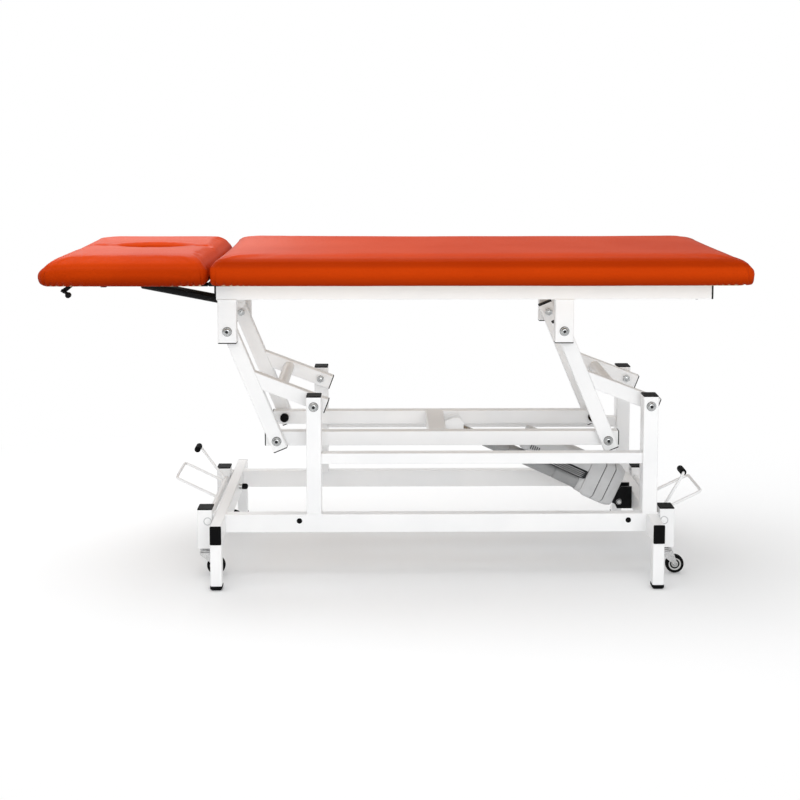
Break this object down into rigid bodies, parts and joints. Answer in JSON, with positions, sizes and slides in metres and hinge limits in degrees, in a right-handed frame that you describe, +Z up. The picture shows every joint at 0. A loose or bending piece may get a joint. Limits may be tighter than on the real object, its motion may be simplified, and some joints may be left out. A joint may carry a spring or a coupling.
{
  "type": "electric therapy table",
  "caption": "Electric therapy table: padded couch with tilting headrest and face hole on a crank-lifted steel frame with a jack actuator, foot pedals and retracting castors.",
  "frame": {"origin": "on the floor under the middle of the table's overall length and width", "axes": "+X from the headrest to the foot end, +Y to the far long side, +Z up"},
  "size_m": [1.85, 0.681, 0.8783],
  "materials": {
    "frame_coat": "satin",
    "black_plastic": "matte",
    "zinc_plate": "satin",
    "black_rubber": "matte",
    "leatherette": "satin",
    "plywood": "matte",
    "actuator_housing": "satin",
    "black_steel": "satin",
    "castor_tyre": "matte"
  },
  "bodies": {
    "base": {"base_rails": "frame_coat", "base_cross_tube_head": "frame_coat", "base_cross_tube_foot": "frame_coat", "posts": "frame_coat", "post_ties": "frame_coat", "legs": "frame_coat", "rubber_feet": "black_rubber", "castor_housings": "frame_coat", "base_plugs": "black_plastic", "post_pivot_bolts": "zinc_plate", "cross_tube_buffer": "black_rubber", "actuator_bracket": "black_steel"},
    "crank_head": {"head_crank_levers": "frame_coat", "head_crank_rockers": "frame_coat", "head_crank_torsion_tube": "frame_coat", "head_crank_plugs": "black_plastic", "head_crank_bolts": "zinc_plate"},
    "crank_foot": {"foot_crank_levers": "frame_coat", "foot_crank_rockers": "frame_coat", "foot_crank_torsion_tube": "frame_coat", "foot_crank_plugs": "black_plastic", "foot_crank_bolts": "zinc_plate"},
    "link_frame": {"link_tubes": "frame_coat", "link_cross_tube": "frame_coat", "link_end_plugs": "black_plastic", "rod_clevis": "frame_coat"},
    "actuator_body": {"actuator_barrel": "actuator_housing", "actuator_motor": "actuator_housing", "actuator_gear_housing": "actuator_housing"},
    "actuator_rod": {"actuator_rod": "zinc_plate"},
    "top_frame": {"top_rails": "frame_coat", "hangers": "frame_coat", "top_end_plugs": "black_plastic", "top_cross_tubes": "frame_coat", "spring_foot_clevis": "frame_coat", "main_cushion": "leatherette", "main_board": "plywood", "frame_hinge_leaves": "black_steel"},
    "headrest": {"headrest_cushion": "leatherette", "headrest_board": "plywood", "headrest_hinge_leaves": "black_steel", "spring_eye_bracket": "black_steel", "release_bracket": "black_steel"},
    "gas_cylinder": {"gas_spring_cylinder": "black_steel"},
    "gas_rod": {"gas_spring_rod": "zinc_plate"},
    "release_lever": {"release_lever": "zinc_plate"},
    "pedal_head": {"pedal_head": "frame_coat", "pedal_grip_head": "black_plastic"},
    "pedal_foot": {"pedal_foot": "frame_coat", "pedal_grip_foot": "black_plastic"},
    "castor_lift_head": {"castor_stems_head": "zinc_plate"},
    "castor_lift_foot": {"castor_stems_foot": "zinc_plate"},
    "fork_head_near": {"castor_fork_head_near": "zinc_plate"},
    "wheel_head_near": {"castor_wheel_head_near": "castor_tyre"},
    "fork_head_far": {"castor_fork_head_far": "zinc_plate"},
    "wheel_head_far": {"castor_wheel_head_far": "castor_tyre"},
    "fork_foot_near": {"castor_fork_foot_near": "zinc_plate"},
    "wheel_foot_near": {"castor_wheel_foot_near": "castor_tyre"},
    "fork_foot_far": {"castor_fork_foot_far": "zinc_plate"},
    "wheel_foot_far": {"castor_wheel_foot_far": "castor_tyre"}
  },
  "joints": [
    {"name": "lift", "type": "hinge", "parent": "base", "child": "crank_head", "pos_m": [-0.224, 0, 0.467], "axis": [0, 1, 0], "range_deg": [-31, 24]},
    {"name": "top_level", "type": "hinge", "parent": "crank_head", "child": "top_frame", "pos_m": [-0.45572, 0, 0.66628], "axis": [0, 1, 0], "range_deg": [-25, 32]},
    {"name": "link_level", "type": "hinge", "parent": "crank_head", "child": "link_frame", "pos_m": [-0.32829, 0, 0.35863], "axis": [0, 1, 0], "range_deg": [-25, 32]},
    {"name": "foot_crank", "type": "hinge", "parent": "base", "child": "crank_foot", "pos_m": [0.681, 0, 0.467], "axis": [0, 1, 0], "range_deg": [-32, 25]},
    {"name": "actuator_tilt", "type": "hinge", "parent": "base", "child": "actuator_body", "pos_m": [0.6345, 0, 0.144], "axis": [0, 1, 0], "range_deg": [-3, 3]},
    {"name": "actuator_stroke", "type": "slide", "parent": "actuator_body", "child": "actuator_rod", "axis": [-0.9092, 0, 0.4163], "range_m": [-0.0755, 0.0585]},
    {"name": "headrest_tilt", "type": "hinge", "parent": "top_frame", "child": "headrest", "pos_m": [-0.489, 0, 0.80498], "axis": [0, 1, 0], "range_deg": [-40, 10]},
    {"name": "gas_spring_tilt", "type": "hinge", "parent": "top_frame", "child": "gas_cylinder", "pos_m": [-0.43972, 0, 0.71428], "axis": [0, 1, 0], "range_deg": [-36, 10]},
    {"name": "gas_spring_stroke", "type": "slide", "parent": "gas_cylinder", "child": "gas_rod", "axis": [-0.9817, 0, 0.1903], "range_m": [-0.0655, 0.0165]},
    {"name": "release", "type": "hinge", "parent": "headrest", "child": "release_lever", "pos_m": [-0.8775, 0, 0.78348], "axis": [0, 1, 0], "range_deg": [-14, 0], "stiffness_Nm_per_rad": 0.3, "springref_deg": 5.73},
    {"name": "pedal_head_turn", "type": "hinge", "parent": "base", "child": "pedal_head", "pos_m": [-0.5105, 0, 0.155], "axis": [0, 1, 0], "range_deg": [-34, 0]},
    {"name": "pedal_foot_turn", "type": "hinge", "parent": "base", "child": "pedal_foot", "pos_m": [0.7205, 0, 0.155], "axis": [0, 1, 0], "range_deg": [0, 34]},
    {"name": "castor_lift_head", "type": "slide", "parent": "base", "child": "castor_lift_head", "axis": [0, 0, 1], "range_m": [-0.0106, 0]},
    {"name": "castor_lift_foot", "type": "slide", "parent": "base", "child": "castor_lift_foot", "axis": [0, 0, 1], "range_m": [-0.0106, 0]},
    {"name": "swivel_head_near", "type": "hinge", "parent": "castor_lift_head", "child": "fork_head_near", "pos_m": [-0.5185, -0.21, 0.072], "axis": [0, 0, 1], "continuous": true},
    {"name": "wheel_head_near_spin", "type": "hinge", "parent": "fork_head_near", "child": "wheel_head_near", "pos_m": [-0.4915, -0.21, 0.027], "axis": [0, 1, 0], "continuous": true},
    {"name": "swivel_head_far", "type": "hinge", "parent": "castor_lift_head", "child": "fork_head_far", "pos_m": [-0.5185, 0.21, 0.072], "axis": [0, 0, 1], "continuous": true},
    {"name": "wheel_head_far_spin", "type": "hinge", "parent": "fork_head_far", "child": "wheel_head_far", "pos_m": [-0.4915, 0.21, 0.027], "axis": [0, 1, 0], "continuous": true},
    {"name": "swivel_foot_near", "type": "hinge", "parent": "castor_lift_foot", "child": "fork_foot_near", "pos_m": [0.7285, -0.21, 0.072], "axis": [0, 0, 1], "continuous": true},
    {"name": "wheel_foot_near_spin", "type": "hinge", "parent": "fork_foot_near", "child": "wheel_foot_near", "pos_m": [0.7555, -0.21, 0.027], "axis": [0, 1, 0], "continuous": true},
    {"name": "swivel_foot_far", "type": "hinge", "parent": "castor_lift_foot", "child": "fork_foot_far", "pos_m": [0.7285, 0.21, 0.072], "axis": [0, 0, 1], "continuous": true},
    {"name": "wheel_foot_far_spin", "type": "hinge", "parent": "fork_foot_far", "child": "wheel_foot_far", "pos_m": [0.7555, 0.21, 0.027], "axis": [0, 1, 0], "continuous": true}
  ],
  "couplings": [
    {"joint": "top_level", "follows": "lift", "ratio": -1},
    {"joint": "link_level", "follows": "lift", "ratio": -1},
    {"joint": "foot_crank", "follows": "lift", "ratio": 1},
    {"joint": "actuator_tilt", "follows": "lift", "ratio": 0.07},
    {"joint": "actuator_stroke", "follows": "lift", "m_per_rad": 0.1375},
    {"joint": "gas_spring_tilt", "follows": "headrest_tilt", "ratio": 0.88},
    {"joint": "gas_spring_stroke", "follows": "headrest_tilt", "m_per_rad": 0.0915},
    {"joint": "castor_lift_head", "follows": "pedal_head_turn", "m_per_rad": 0.01775},
    {"joint": "castor_lift_foot", "follows": "pedal_foot_turn", "m_per_rad": -0.01775}
  ]
}
